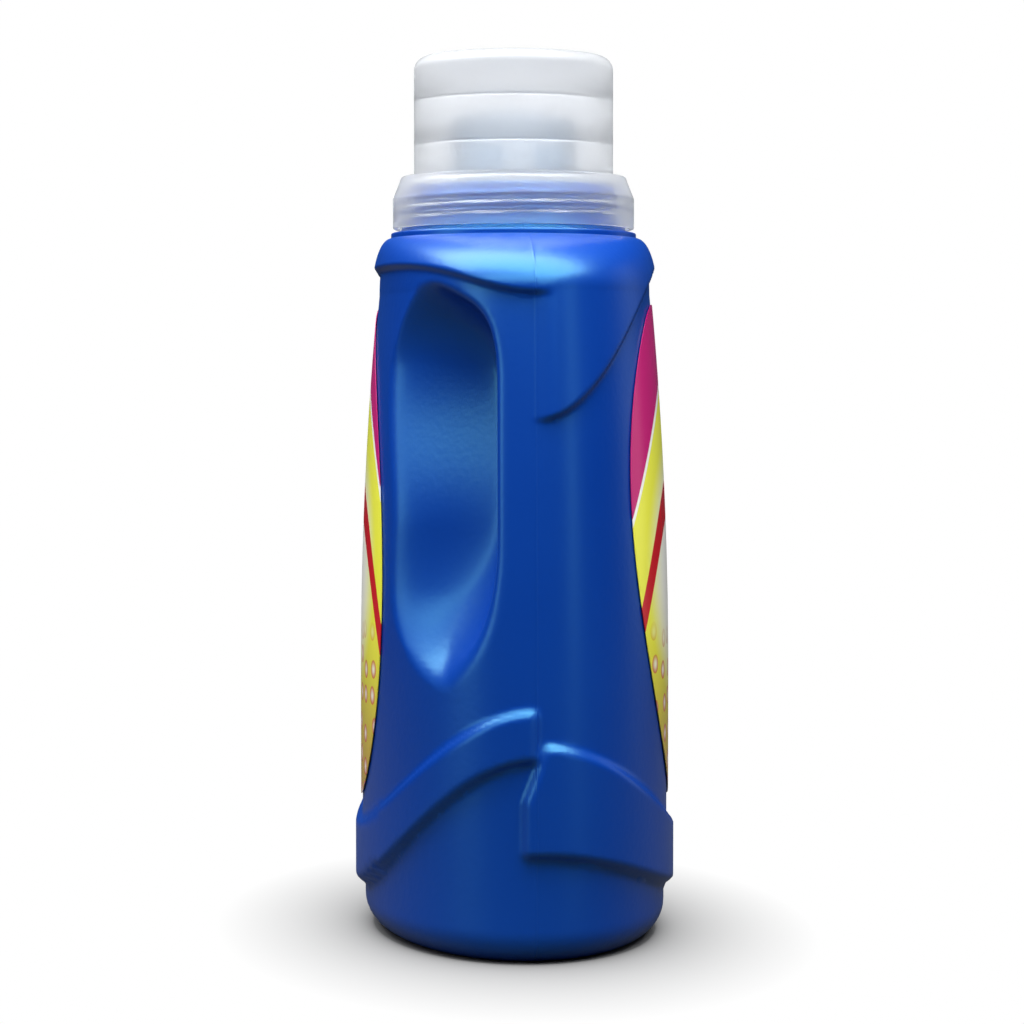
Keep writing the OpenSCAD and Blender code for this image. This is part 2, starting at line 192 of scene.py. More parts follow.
@dataclass(frozen=True)
class StylingLine:
    """Height of a moulded line round the body: level on the face, high at one end and low at the other.

    Args:
        face: height at the middle of the face.
        high: height at the end where it runs up.
        low: height at the end where it runs down.
        high_power: how late it leaves the face on its way up.
        low_power: how late it leaves the face on its way down.
    """

    face: float
    high: float
    low: float
    high_power: float
    low_power: float

    def height(self, angle: Array, end: float, power: float) -> Array:
        """Height at an angle, of the branch that runs to one end."""
        return self.face + (end - self.face) * np.abs(np.cos(angle)) ** power

    def upper(self, angle: Array) -> Array:
        """Height of the branch that runs up."""
        return self.height(angle, self.high, self.high_power)

    def lower(self, angle: Array) -> Array:
        """Height of the branch that runs down."""
        return self.height(angle, self.low, self.low_power)


@dataclass(frozen=True)
class FingerRecess:
    """Finger recess of the back half, as a depth behind the parting plane, in millimetres."""

    floor_y: float = 5.0
    middle_z: float = 138.0
    far_x: float = 51.0
    far_step: float = 8.5
    step_z: float = 120.0
    step_height: float = 48.0
    turn_z: float = 104.0
    far_turn: float = 0.022
    far_slope: float = 3.0
    near_setback: float = 9.5
    near_slope: float = 0.75
    top_start: float = 24.0
    top_height: float = 32.6
    top_power: float = 2.6
    top_x: float = 52.0
    top_round: float = 0.053
    bottom_start: float = 20.0
    bottom_height: float = 54.0
    bottom_power: float = 1.5
    bottom_x: float = 61.0
    bottom_tilt: float = 0.6
    bottom_round: float = 0.05
    depth: float = 33.0
    crease: float = 13.0
    near_rim: float = 6.0
    far_rim: float = 9.0
    end_rim: float = 4.0
    rim_low_z: float = 88.0
    rim_high_z: float = 172.0
    rim_run: float = 20.0

    def far_foot(self, z: Array) -> Array:
        """X of the foot of the far wall, which steps back upwards and turns in at the bottom."""
        step = self.far_step * ease((z - self.step_z) / self.step_height)
        return step - self.far_x - self.far_turn * np.maximum(0.0, self.turn_z - z) ** 2

    def turn_out(self, start: float, height: float, power: float, reach: Array, inset: float) -> Array:
        """Depth of an end that curves out of the floor.

        Args:
            start: distance from the middle at which it leaves the floor.
            height: distance in which it comes out to the whole depth.
            power: power of its curve.
            reach: distance from the middle of the recess.
            inset: wall thickness by which the form is grown.

        Returns:
            Depth above the floor of the recess.
        """
        share = np.maximum(0.0, (reach - start) / height)
        slope = power * self.depth / height * share ** (power - 1.0)
        return self.depth * share**power - inset * np.sqrt(1.0 + slope**2)

    def rim(self, x: Array, z: Array, near_x: Array) -> Array:
        """Softness of the rim, widest along the far lip.

        Args:
            x: place across the bottle.
            z: height.
            near_x: place of the foot of the near wall.

        Returns:
            Difference in depth over which recess and body blend.
        """
        middle = 0.5 * (near_x + self.far_foot(z))
        side = mix(self.near_rim, self.far_rim, ease(0.5 + (x - middle) / self.rim_run))
        over_low = ease((z - self.rim_low_z) / self.rim_run + 0.5)
        under_high = ease((self.rim_high_z - z) / self.rim_run + 0.5)
        return mix(self.end_rim, side, over_low * under_high)

    def surface(self, x: Array, z: Array, near_x: Array, inset: float) -> Array:
        """Depth of the recess behind the parting plane.

        Args:
            x: place across the bottle.
            z: height.
            near_x: place of the foot of the near wall.
            inset: wall thickness by which the form is grown.

        Returns:
            Y of its skin, which rises past the body outside the recess.
        """
        up = z - self.middle_z
        top_round = self.top_round * np.maximum(0.0, x + self.top_x) ** 2
        beside = x + self.bottom_x
        bottom_round = self.bottom_tilt * beside + self.bottom_round * beside**2
        far = self.far_slope * (x - self.far_foot(z)) - inset * math.hypot(1.0, self.far_slope)
        near = self.near_slope * (near_x - x) - inset * math.hypot(1.0, self.near_slope)
        top = self.turn_out(self.top_start, self.top_height, self.top_power, up + top_round, inset)
        bottom = self.turn_out(self.bottom_start, self.bottom_height, self.bottom_power,
                               bottom_round - up, inset)
        sides = soft_max(far, near, self.crease)
        return self.floor_y + soft_max(np.maximum(top, bottom), sides, self.crease)


@dataclass(frozen=True)
class BodyForm:
    """Form of the blown body in millimetres, worked out on the back half.

    Angles run from the -X end over the back to the +X end; the front half is the same form turned
    half round.
    """

    foot_half_width: float = 74.0
    foot_half_depth: float = 45.3
    shoulder_half_width: float = 68.0
    shoulder_half_depth: float = 40.0
    taper_z: float = 75.0
    shoulder_z: float = 188.0
    shoulder_rise: float = 17.0
    ring_radius: float = 36.8
    wall: float = 1.3
    heel: float = 9.0
    standing_ring: float = 5.0
    push_up: float = 4.0
    push_up_slope: float = 6.0
    foot_inset: float = 0.8
    band_raise: float = 2.1
    band_edge: float = 3.2
    band_join: float = 3.0
    band_middle: float = 0.5
    band_end_lean: float = 0.45
    band_end_first: float = -2.9
    band_end_last: float = 4.2
    band_end_join: float = 2.4
    ridge_raise: float = 2.3
    ridge_width: float = 2.4
    ridge_join: float = 5.0
    ridge_middle: float = -3.0
    parting_raise: float = 0.12
    parting_half: float = 0.55
    ridge: StylingLine = StylingLine(195.5, 187.0, 151.5, 6.0, 3.0)
    band_top: StylingLine = StylingLine(32.0, 71.0, 61.5, 2.0, 2.0)
    band_foot: StylingLine = StylingLine(13.5, 57.0, 30.5, 2.0, 2.0)
    recess: FingerRecess = field(default_factory=FingerRecess)

    def dome(self, z: Array) -> Array:
        """Share of the body's spread that is left above the shoulder."""
        above = np.maximum(0.0, z - self.shoulder_z) / self.shoulder_rise
        return np.sqrt(np.maximum(0.0, 1.0 - above**2))

    def spread(self, foot: float, shoulder: float, z: Array) -> Array:
        """Half size of the plan oval in one direction at a height."""
        drawn = clamp01((z - self.taper_z) / (self.shoulder_z - self.taper_z)) ** 2
        return self.ring_radius + (mix(foot, shoulder, drawn) - self.ring_radius) * self.dome(z)

    def half_width(self, z: Array) -> Array:
        """Half width of the plan oval."""
        return self.spread(self.foot_half_width, self.shoulder_half_width, z)

    def half_depth(self, z: Array) -> Array:
        """Half depth of the plan oval."""
        return self.spread(self.foot_half_depth, self.shoulder_half_depth, z)

    def near_x(self, z: Array) -> Array:
        """Foot of the near wall of the recess."""
        return self.recess.near_setback - self.half_width(np.minimum(z, self.shoulder_z))

    @staticmethod
    def past_seam(angle: Array) -> Array:
        """Degrees past the nearest parting line."""
        degrees = np.degrees(angle)
        return np.where(degrees < 90.0, degrees, degrees - 180.0)

    def crossing(self, angle: Array, join: float, middle: Any = 0.0) -> Array:
        """Share of the high branch near the parting line, where the halves run into each other."""
        return ease(0.5 + 0.5 * (self.past_seam(angle) - middle) / join)

    @staticmethod
    def step_up(z: Array, edge: Array, width: float) -> Array:
        """Moulded step at a height, eased over its width."""
        return ease((z - edge) / width + 0.5)

    def relief(self, angle: Array, z: Array) -> Array:
        """How far the moulded skin stands out from the plain oval.

        Args:
            angle: place round the half body, in radians.
            z: height.

        Returns:
            Raise of the band and the ridge, less the set-back of the foot.
        """
        lean = (self.band_top.low - z) * self.band_end_lean + self.band_end_first
        end_share = self.crossing(angle, self.band_end_join,
                                  np.clip(lean, self.band_end_first, self.band_end_last))
        low_foot = self.step_up(z, self.band_foot.lower(angle), self.band_edge)
        high_foot = self.step_up(z, self.band_foot.upper(angle), self.band_edge)
        low_band = low_foot * (1.0 - self.step_up(z, self.band_top.lower(angle), self.band_edge))
        high_band = high_foot * (1.0 - self.step_up(z, self.band_top.upper(angle), self.band_edge))
        low_band = low_band * (1.0 - end_share)
        high_band = high_band * self.crossing(angle, self.band_join, self.band_middle)
        band = self.band_raise * (low_band + high_band - low_band * high_band)
        above_foot = mix(low_foot, high_foot, end_share)
        above_ridge = mix(self.step_up(z, self.ridge.lower(angle), self.ridge_width),
                          self.step_up(z, self.ridge.upper(angle), self.ridge_width),
                          self.crossing(angle, self.ridge_join, self.ridge_middle))
        seam = self.parting_raise * (1.0 - clamp01(np.abs(self.past_seam(angle)) / self.parting_half))
        shoulder = self.ridge_raise * self.dome(z) * above_ridge
        return band - self.foot_inset * (1.0 - above_foot) + shoulder + seam

    def skin(self, angle: Array, z: Array, inset: float) -> Array:
        """Points of the skin of the back half.

        Args:
            angle: places round the half body, in radians.
            z: heights, of the same shape.
            inset: wall thickness by which the skin is set in.

        Returns:
            Points, with a last axis of three.
        """
        out = self.relief(angle, z) - inset
        x = -(self.half_width(z) + out) * np.cos(angle)
        y = (self.half_depth(z) + out) * np.sin(angle)
        hollow = self.recess.surface(x, z, self.near_x(z), inset)
        y = soft_min(y, hollow, self.recess.rim(x, z, self.near_x(z)))
        return np.stack([x, y, z], axis=-1)


class NodeSheet:
    """Small helper that lays out a shader: each call adds a node and returns its output."""

    def __init__(self, tree: bpy.types.NodeTree) -> None:
        """Takes a node tree and empties it."""
        self.tree = tree
        tree.nodes.clear()

    def node(self, kind: str, **settings: Any) -> bpy.types.Node:
        """Adds a node and sets its properties.

        Args:
            kind: type of the node.
            **settings: its properties by name.

        Returns:
            The node.
        """
        made = self.tree.nodes.new(kind)
        for key, value in settings.items():
            setattr(made, key, value)
        return made

    def feed(self, socket: bpy.types.NodeSocket, value: Any) -> None:
        """Links an output to a socket, or writes a constant into it.

        Args:
            socket: the socket to fill.
            value: an output of another node, or a constant.
        """
        if isinstance(value, bpy.types.NodeSocket):
            self.tree.links.new(value, socket)
        else:
            socket.default_value = value

    def math(self, operation: str, *values: Any, clamp: bool = False) -> bpy.types.NodeSocket:
        """Adds a math node.

        Args:
            operation: what it works out.
            *values: its inputs in order.
            clamp: whether the result is held between 0 and 1.

        Returns:
            Its result.
        """
        made = self.node("ShaderNodeMath", operation=operation, use_clamp=clamp)
        for socket, value in zip(made.inputs, values):
            self.feed(socket, value)
        return made.outputs[0]

    def smooth(self, value: Any, low: float, high: float) -> bpy.types.NodeSocket:
        """Adds a smooth step.

        Args:
            value: what is compared.
            low: value that gives 0.
            high: value that gives 1, above or below the other.

        Returns:
            Its result.
        """
        made = self.node("ShaderNodeMapRange", interpolation_type="SMOOTHSTEP")
        self.feed(made.inputs["Value"], value)
        made.inputs["From Min"].default_value = low
        made.inputs["From Max"].default_value = high
        return made.outputs["Result"]

    def blend(self, share: Any, first: Any, second: Any) -> bpy.types.NodeSocket:
        """Mixes two colours.

        Args:
            share: share of the second colour.
            first: colour at a share of 0.
            second: colour at a share of 1.

        Returns:
            The mixed colour.
        """
        made = self.node("ShaderNodeMix", data_type="RGBA", clamp_factor=True)
        self.feed(made.inputs["Factor"], share)
        self.feed(made.inputs[6], first)
        self.feed(made.inputs[7], second)
        return made.outputs[2]

    def noise(self, place: Any, scale: float, detail: float = 2.0) -> bpy.types.NodeSocket:
        """Adds a noise texture.

        Args:
            place: the coordinates it follows.
            scale: how many clouds there are in a metre.
            detail: how many finer layers it has.

        Returns:
            Its value.
        """
        made = self.node("ShaderNodeTexNoise")
        self.feed(made.inputs["Vector"], place)
        made.inputs["Scale"].default_value = scale
        made.inputs["Detail"].default_value = detail
        return made.outputs[0]

    def bump(self, height: Any, distance: float, strength: float = 1.0) -> bpy.types.NodeSocket:
        """Adds a bump node.

        Args:
            height: the relief.
            distance: height of one unit of relief, in metres.
            strength: share of the relief that shows.

        Returns:
            The bent normal.
        """
        made = self.node("ShaderNodeBump")
        made.inputs["Distance"].default_value = distance
        made.inputs["Strength"].default_value = strength
        self.feed(made.inputs["Height"], height)
        return made.outputs[0]

    def square(self, value: Any) -> bpy.types.NodeSocket:
        """Adds the square of a value."""
        return self.math("POWER", self.math("ABSOLUTE", value), 2.0)

    def stripe(self, value: Any, low: float, high: float, edge: float) -> bpy.types.NodeSocket:
        """Adds a stripe with eased edges.

        Args:
            value: what is compared.
            low: value where it begins.
            high: value where it ends.
            edge: run of each edge.

        Returns:
            1 inside the stripe and 0 outside it.
        """
        opened = self.smooth(value, low, low + edge)
        closed = self.smooth(value, high, high - edge)
        return self.math("MULTIPLY", opened, closed)

    def around(self, value: Any, middle: float, swing: float) -> bpy.types.NodeSocket:
        """Spreads a value of 0 to 1 evenly about a middle."""
        return self.math("MULTIPLY_ADD", value, swing, middle - 0.5 * swing)

    def choose(self, share: Any, first: Any, second: Any) -> bpy.types.NodeSocket:
        """Mixes two numbers.

        Args:
            share: share of the second number.
            first: number at a share of 0.
            second: number at a share of 1.

        Returns:
            The mixed number.
        """
        mixer = self.node("ShaderNodeMix", data_type="FLOAT")
        self.feed(mixer.inputs[0], share)
        self.feed(mixer.inputs[2], first)
        self.feed(mixer.inputs[3], second)
        return mixer.outputs[0]

    def surface(self, **sockets: Any) -> bpy.types.Node:
        """Adds the main shader and the output.

        Args:
            **sockets: values of the shader's sockets, with _ for a space in a name.

        Returns:
            The shader.
        """
        shader = self.node("ShaderNodeBsdfPrincipled")
        for key, value in sockets.items():
            self.feed(shader.inputs[key.replace("_", " ")], value)
        output = self.node("ShaderNodeOutputMaterial")
        self.tree.links.new(shader.outputs[0], output.inputs["Surface"])
        return shader


def linear(step: int) -> float:
    """Linear light of one screen channel given in steps of 255."""
    share = step / 255.0
    return share / 12.92 if share <= 0.04045 else ((share + 0.055) / 1.055) ** 2.4


def srgb(red: int, green: int, blue: int) -> Colour:
    """Linear colour of a screen colour given in steps of 255."""
    return (linear(red), linear(green), linear(blue), 1.0)


def new_material(name: str) -> tuple[bpy.types.Material, NodeSheet]:
    """Makes an empty node material.

    Args:
        name: name of the material.

    Returns:
        The material and the sheet on which its nodes are laid out.
    """
    material = bpy.data.materials.new(name)
    material.use_nodes = True
    return material, NodeSheet(material.node_tree)


@dataclass(frozen=True)
class BlownPlastic:
    """Coloured polyethylene: deep, a little uneven, with a faint orange peel and a parting line."""

    deep: Colour = (0.0005, 0.0275, 0.245, 1.0)
    light: Colour = (0.0007, 0.035, 0.298, 1.0)
    sheen_tint: Colour = (0.22, 0.84, 1.0, 1.0)
    sheen: float = 1.0
    bend: float = 1.5
    roughness: float = 0.33
    roughness_swing: float = 0.10
    cloud_scale: float = 16.0
    grain_scale: float = 520.0
    peel: float = 0.00012
    peel_share: float = 0.35
    parting_half: float = 0.0005
    parting_lift: float = 2.5

    def material(self) -> bpy.types.Material:
        """Makes the material.

        Returns:
            The material.
        """
        made, sheet = new_material("blown plastic")
        place = sheet.node("ShaderNodeTexCoord").outputs["Object"]
        cloud = sheet.noise(place, self.cloud_scale)
        grain = sheet.noise(place, self.grain_scale, 1.0)
        cut = sheet.node("ShaderNodeSeparateXYZ")
        sheet.feed(cut.inputs[0], place)
        parting = sheet.smooth(sheet.math("ABSOLUTE", cut.outputs[1]), self.parting_half, 0.0)
        relief = sheet.math("MULTIPLY_ADD", parting, self.parting_lift, grain)
        sheet.surface(Base_Color=sheet.blend(cloud, self.deep, self.light),
                      Roughness=sheet.around(cloud, self.roughness, self.roughness_swing),
                      IOR=self.bend, Specular_IOR_Level=self.sheen, Specular_Tint=self.sheen_tint,
                      Normal=sheet.bump(relief, self.peel, self.peel_share))
        return made


@dataclass(frozen=True)
class ClearPlastic:
    """Polypropylene that light passes through, a little hazy.

    Args:
        name: name of the material.
        tint: colour of the plastic.
        transmission: share of light that goes through.
        roughness: haze.
        bend: index of refraction, low because the thin wall bends light little.
        haze_scale: how many clouds of haze there are in a metre.
        haze_swing: how far the haze varies.
    """

    name: str
    tint: Colour
    transmission: float
    roughness: float
    bend: float = 1.25
    haze_scale: float = 60.0
    haze_swing: float = 0.08

    def material(self) -> bpy.types.Material:
        """Makes the material.

        Returns:
            The material.
        """
        made, sheet = new_material(self.name)
        place = sheet.node("ShaderNodeTexCoord").outputs["Object"]
        haze = sheet.around(sheet.noise(place, self.haze_scale), self.roughness, self.haze_swing)
        sheet.surface(Base_Color=self.tint, Roughness=haze, IOR=self.bend,
                      Transmission_Weight=self.transmission)
        return made


@dataclass(frozen=True)
class PrintedFilm:
    """Glossy printed film with a plain design: a coloured field at the top, a glow, a ribbon and bubbles.

    The print is laid out on the label's UV map, where both axes run from 0 to 1. The crown is the field
    at the top, and the trim is the pale line under it.
    """

    crown: Colour = srgb(190, 20, 110)
    lemon: Colour = srgb(236, 236, 70)
    gold: Colour = srgb(186, 150, 44)
    ribbon: Colour = srgb(196, 22, 34)
    white: Colour = srgb(246, 246, 240)
    gold_top: float = 0.42
    glow_middle: float = 0.47
    glow_squeeze: tuple[float, float] = (1.3, 2.1)
    glow_edge: tuple[float, float] = (0.34, 0.05)
    arc_bend: float = -1.15
    ripple: float = 0.012
    ripple_turns: float = 9.0
    ribbon_span: tuple[float, float] = (0.585, 0.665)
    ribbon_edge: float = 0.005
    crown_bend: float = 0.9
    crown_foot: float = 0.845
    crown_edge: float = 0.007
    trim_span: tuple[float, float] = (0.832, 0.853)
    trim_edge: float = 0.004
    bubble_scale: float = 9.0
    bubble_stretch: float = 1.7
    bubble_scatter: float = 0.55
    bubble_size: float = 0.30
    bubble_edge: float = 0.03
    bubble_top: tuple[float, float] = (0.40, 0.26)
    bubble_share: float = 0.8
    roughness: float = 0.22
    bend: float = 1.5

    def glow(self, sheet: NodeSheet, off: Any, v: Any) -> bpy.types.NodeSocket:
        """Lays the pale glow in the middle.

        Args:
            sheet: the material's nodes.
            off: distance across from the middle.
            v: place up the label.

        Returns:
            Share of the pale colour.
        """
        across = sheet.math("MULTIPLY", off, self.glow_squeeze[0])
        up = sheet.math("MULTIPLY", sheet.math("SUBTRACT", v, self.glow_middle), self.glow_squeeze[1])
        return sheet.smooth(sheet.math("ADD", sheet.square(across), sheet.square(up)), *self.glow_edge)

    def bubbles(self, sheet: NodeSheet, u: Any, v: Any) -> tuple[bpy.types.NodeSocket, bpy.types.NodeSocket]:
        """Scatters bubbles over the foot of the label.

        Args:
            sheet: the material's nodes.
            u: place across the label.
            v: place up the label.

        Returns:
            Share of the bubbles and their colour.
        """
        cells = sheet.node("ShaderNodeTexVoronoi", feature="F1", voronoi_dimensions="2D")
        place = sheet.node("ShaderNodeCombineXYZ")
        sheet.feed(place.inputs[0], u)
        sheet.feed(place.inputs[1], sheet.math("MULTIPLY", v, self.bubble_stretch))
        sheet.feed(cells.inputs["Vector"], place.outputs[0])
        cells.inputs["Scale"].default_value = self.bubble_scale
        cells.inputs["Randomness"].default_value = self.bubble_scatter
        off = cells.outputs["Distance"]
        ball = sheet.smooth(off, self.bubble_size, self.bubble_size - self.bubble_edge)
        low_down = sheet.math("MULTIPLY", ball, sheet.smooth(v, *self.bubble_top))
        tone = sheet.blend(sheet.smooth(off, 0.0, self.bubble_size), self.white, self.ribbon)
        return sheet.math("MULTIPLY", low_down, self.bubble_share), tone

    def material(self) -> bpy.types.Material:
        """Makes the material.

        Returns:
            The material.
        """
        made, sheet = new_material("printed film")
        cut = sheet.node("ShaderNodeSeparateXYZ")
        sheet.feed(cut.inputs[0], sheet.node("ShaderNodeTexCoord").outputs["UV"])
        u, v = cut.outputs[0], cut.outputs[1]
        off = sheet.math("SUBTRACT", u, 0.5)
        ground = sheet.blend(sheet.smooth(v, 0.0, self.gold_top), self.gold, self.lemon)
        lit = sheet.blend(self.glow(sheet, off, v), ground, self.white)
        rise = sheet.math("MULTIPLY", sheet.square(off), self.arc_bend)
        turns = sheet.math("SINE", sheet.math("MULTIPLY", u, self.ripple_turns))
        wave = sheet.math("MULTIPLY", turns, self.ripple)
        arc = sheet.math("SUBTRACT", v, sheet.math("ADD", rise, wave))
        tied = sheet.blend(sheet.stripe(arc, *self.ribbon_span, self.ribbon_edge), lit, self.ribbon)
        crown_arc = sheet.math("SUBTRACT", v, sheet.math("MULTIPLY", rise, self.crown_bend))
        in_crown = sheet.smooth(crown_arc, self.crown_foot, self.crown_foot + self.crown_edge)
        crowned = sheet.blend(in_crown, tied, self.crown)
        edged = sheet.blend(sheet.stripe(crown_arc, *self.trim_span, self.trim_edge), crowned, self.white)
        share, tone = self.bubbles(sheet, u, v)
        sheet.surface(Base_Color=sheet.blend(share, edged, tone), Roughness=self.roughness, IOR=self.bend)
        return made


@dataclass(frozen=True)
class ScrewThread:
    """Single-start thread as a bulge on a round wall, in millimetres.

    Args:
        start: height where it begins.
        turns: number of turns.
        pitch: rise in one turn.
        width: width of its root.
        crest: how far it stands out.
        phase: place round the neck where it begins, in turns.
        end_run: run in which it fades at each end, in turns.
        fullness: how square its section is.
    """

    start: float
    turns: float
    pitch: float = 3.1
    width: float = 2.0
    crest: float = 1.2
    phase: float = 0.0
    end_run: float = 0.06
    fullness: float = 1.35

    def bulge(self, angle: Array, z: Array) -> Array:
        """How far it stands out at places round the wall.

        Args:
            angle: angle from +X towards +Y, in radians.
            z: height.

        Returns:
            Distance out from the wall.
        """
        share = angle / (2.0 * math.pi) - self.phase
        coil = np.round((z - self.start) / self.pitch - share)
        along = share + coil
        off = z - (self.start + self.pitch * along)
        begun = ease(along / self.end_run + 0.5)
        left = ease((self.turns - along) / self.end_run + 0.5)
        section = ease(self.fullness * (1.0 - 2.0 * np.abs(off) / self.width))
        return self.crest * section * (begun * left)


@dataclass
class Bottle:
    """The blown bottle with its threaded neck: one sheet wrapped up the outside and down the inside."""

    form: BodyForm = field(default_factory=BodyForm)
    finish: BlownPlastic = field(default_factory=BlownPlastic)
    thread: ScrewThread = ScrewThread(start=212.6, turns=2.0)
    column_steps: tuple[int, ...] = (8, 12, 12, 8, 18, 10, 12, 38, 8)
    seam_span: float = 9.0
    rim_span: float = 12.0
    floor_least: float = 6.0
    face_angle: float = 115.0
    lip_share: float = 0.8
    near_share: float = 0.7
    middle_inset: float = 400.0
    crown_span: float = 8.0
    crown_share: float = 0.95
    push_up_steps: tuple[tuple[float, float], ...] = ((1.0, 0.75), (0.4, 0.25), (0.0, 0.0))
    neck_r: float = 31.0
    bore_r: float = 29.0
    ring_out: float = 5.6
    collar_out: float = 2.5
    ring_foot: float = 205.15
    ring_top: float = 206.7
    collar_top: float = 208.2
    neck_foot: float = 211.3
    lip_z: float = 220.3
    bore_foot: float = 203.7
    thread_step: float = 0.26
    waist_z: float = 75.0
    upper_z: float = 146.0
    side_steps: tuple[int, int, int] = (64, 40, 90)
    inner_steps: int = 26
    dome_steps: tuple[int, int] = (48, 8)
    heel_steps: tuple[int, int] = (10, 4)
    smooth_angle: float = 50.0

    def columns(self, z: Array) -> Array:
        """Angles of the columns of the back half, close together in the recess walls.

        Args:
            z: height of each row.

        Returns:
            Angles from the near end, one row for each height.
        """
        form = self.form
        level = np.clip(z, form.band_top.high, form.ridge.high)
        width = form.half_width(level)
        near = form.near_x(level)
        foot = np.maximum(form.recess.far_foot(level), near + self.floor_least)
        lip_x = foot + self.lip_share * form.half_depth(level) / form.recess.far_slope
        lip = np.arccos(-lip_x / width)
        seam = np.full_like(level, math.radians(self.seam_span))
        setback = self.near_share * form.recess.near_setback
        keys = [np.zeros_like(level), seam, np.arccos((setback - near) / width),
                np.arccos(-near / width), np.arccos(-foot / width), lip,
                lip + math.radians(self.rim_span), np.full_like(level, math.radians(self.face_angle)),
                math.pi - seam, np.full_like(level, math.pi)]
        runs = []
        for part, steps in enumerate(self.column_steps):
            share = np.arange(steps) / steps
            runs.append(keys[part][:, None] + (keys[part + 1] - keys[part])[:, None] * share)
        return np.concatenate(runs, axis=1)

    @staticmethod
    def whole(half: Array) -> Array:
        """Closes rows of the back half into rings: the same turned half round, then the first again."""
        turned = half * np.array([-1.0, -1.0, 1.0])
        return np.concatenate([half, turned, half[:, :1]], axis=1)

    def base_rows(self, inset: float, steps: int) -> Array:
        """Rows of the base and heel, from the middle out to the side.

        Args:
            inset: how far in from the outside.
            steps: number of rows in the turn of the heel.

        Returns:
            Rings of points.
        """
        form = self.form
        heel = form.heel - inset
        ring = form.heel + form.standing_ring
        slope, rise = form.push_up_slope, form.push_up
        rows = [(self.middle_inset, rise + inset),
                (ring + slope + self.crown_span, self.crown_share * rise + inset)]
        rows += [(ring + along * slope, up * rise + inset) for along, up in self.push_up_steps]
        for turn in np.linspace(0.0, 0.5 * math.pi, steps, endpoint=False):
            rows.append((inset + heel * (1.0 - math.sin(turn)), inset + heel * (1.0 - math.cos(turn))))
        drawn = np.array(rows)
        angle = self.columns(np.zeros(len(rows)))
        width = np.maximum(0.0, form.half_width(0.0) - form.foot_inset - drawn[:, :1])
        depth = np.maximum(0.0, form.half_depth(0.0) - form.foot_inset - drawn[:, :1])
        z = np.repeat(drawn[:, 1:], angle.shape[1], axis=1)
        return self.whole(np.stack([-width * np.cos(angle), depth * np.sin(angle), z], axis=-1))

    def side_rows(self, heights: Array, inset: float) -> Array:
        """Rows of the moulded side.

        Args:
            heights: height of each row.
            inset: how far in from the outside.

        Returns:
            Rings of points.
        """
        angle = self.columns(heights)
        z = np.repeat(heights[:, None], angle.shape[1], axis=1)
        return self.whole(self.form.skin(angle, z, inset))

    def dome_rows(self, steps: int, inset: float) -> Array:
        """Rows of the shoulder dome, set in along its own slope.

        Args:
            steps: number of rows.
            inset: how far in from the outside.

        Returns:
            Rings of points.
        """
        form = self.form
        turn = np.linspace(0.0, 0.5 * math.pi, steps)
        heights = form.shoulder_z + form.shoulder_rise * np.sin(turn)
        rows = [self.side_rows(heights[k:k + 1], inset * math.cos(turn[k])) for k in range(steps)]
        stacked = np.concatenate(rows, axis=0)
        stacked[:, :, 2] -= inset * np.sin(turn)[:, None]
        return stacked

    def neck_rows(self) -> Array:
        """Rows of the neck ring, collar, threaded wall, lip and bore, with small steps that round the edges.

        Returns:
            Rings of points.
        """
        ring, collar = self.neck_r + self.ring_out, self.neck_r + self.collar_out
        wall, bore = self.neck_r, self.bore_r
        step, shelf, top, foot = self.ring_top, self.collar_top, self.lip_z, self.bore_foot
        root = [(ring, self.ring_foot), (ring, step - 0.8), (ring, step - 0.4), (ring - 0.15, step - 0.13),
                (ring - 0.5, step), (ring - 1.5, step), (collar + 0.5, step + 0.02),
                (collar + 0.15, step + 0.15), (collar, step + 0.4), (collar, shelf),
                (collar - 0.08, shelf + 0.4), (collar - 0.4, shelf + 0.9), (wall + 0.3, self.neck_foot - 0.4)]
        threaded = [(wall, z) for z in np.arange(self.neck_foot, top - 0.8, self.thread_step)]
        lip = [(wall, top - 0.7), (wall - 0.1, top - 0.3), (wall - 0.4, top - 0.05), (wall - 0.8, top),
               (bore + 0.4, top), (bore + 0.1, top - 0.1), (bore, top - 0.4), (bore, top - 6.3),
               (bore, top - 12.3), (bore, foot + 0.9), (bore + 0.4, foot + 0.2), (bore + 1.3, foot)]
        rows = np.array(root + threaded + lip)
        angle = self.columns(np.full(len(rows), self.form.shoulder_z))
        half = np.stack([-np.cos(angle), np.sin(angle), np.zeros_like(angle)], axis=-1)
        ring_points = self.whole(half)
        around = np.arctan2(ring_points[:, :, 1], ring_points[:, :, 0])
        z = np.repeat(rows[:, 1:], around.shape[1], axis=1)
        radius = np.repeat(rows[:, :1], around.shape[1], axis=1)
        outside = (np.arange(len(rows)) < len(root) + len(threaded))[:, None]
        radius = radius + np.where(outside, self.thread.bulge(around, z), 0.0)
        return np.stack([radius * ring_points[:, :, 0], radius * ring_points[:, :, 1], z], axis=-1)

